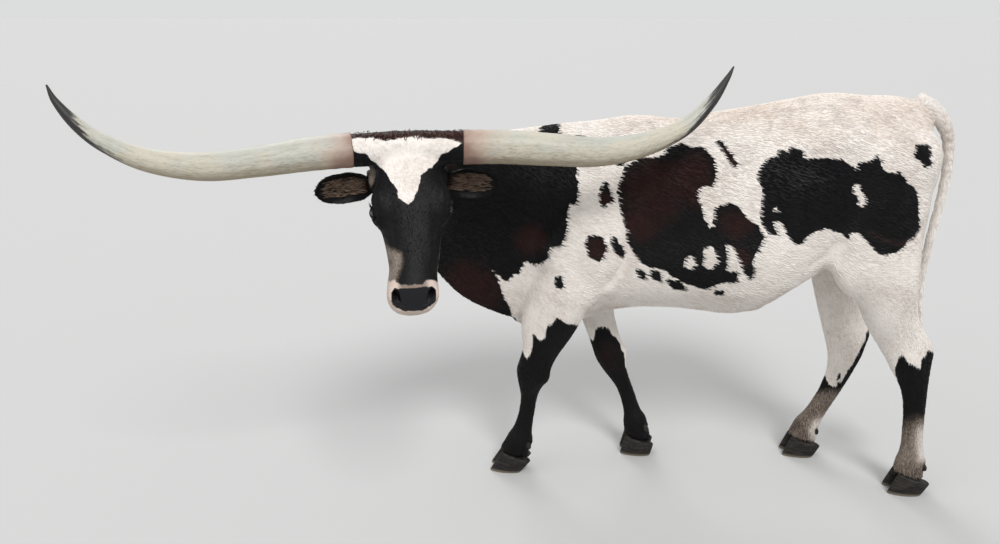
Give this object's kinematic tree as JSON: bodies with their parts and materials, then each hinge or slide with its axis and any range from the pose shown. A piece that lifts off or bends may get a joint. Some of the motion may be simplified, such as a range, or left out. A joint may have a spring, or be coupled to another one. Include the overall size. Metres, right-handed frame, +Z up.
{
  "type": "texas longhorn steer",
  "caption": "Still, life-size longhorn steer standing square on its hooves with the head turned to its left, long upswept horns, spotted short coat and hanging tail switch.",
  "frame": {"origin": "on the ground under the middle of the animal's bounding box, horns and tail included", "axes": "+Z up, -X the way the body faces, -Y the animal's left side"},
  "size_m": [2.6491, 1.0423, 1.4658],
  "materials": {
    "coat": "short sleek hair, cream white with jagged black to mahogany patches",
    "switch_hair": "long coarse hair in hanging locks",
    "horn": "weathered horn, pink at the base, ivory along its length and charcoal at the tips",
    "hoof": "dark ridged horn with pale worn edges",
    "eye": "wet, dark brown with a level oval pupil"
  },
  "bodies": {
    "root": {"leg_front_left": "coat", "claw_front_left_left": "hoof", "dewclaw_front_left_left": "hoof", "claw_front_left_right": "hoof", "dewclaw_front_left_right": "hoof", "leg_front_right": "coat", "claw_front_right_left": "hoof", "dewclaw_front_right_left": "hoof", "claw_front_right_right": "hoof", "dewclaw_front_right_right": "hoof", "leg_hind_left": "coat", "claw_hind_left_left": "hoof", "dewclaw_hind_left_left": "hoof", "claw_hind_left_right": "hoof", "dewclaw_hind_left_right": "hoof", "leg_hind_right": "coat", "claw_hind_right_left": "hoof", "dewclaw_hind_right_left": "hoof", "claw_hind_right_right": "hoof", "dewclaw_hind_right_right": "hoof", "torso": "coat", "neck": "coat", "head": "coat", "tail": "coat", "tail_switch": "switch_hair", "ear_left": "coat", "eye_left": "eye", "horn_left": "horn", "ear_right": "coat", "eye_right": "eye", "horn_right": "horn"}
  },
  "joints": []
}
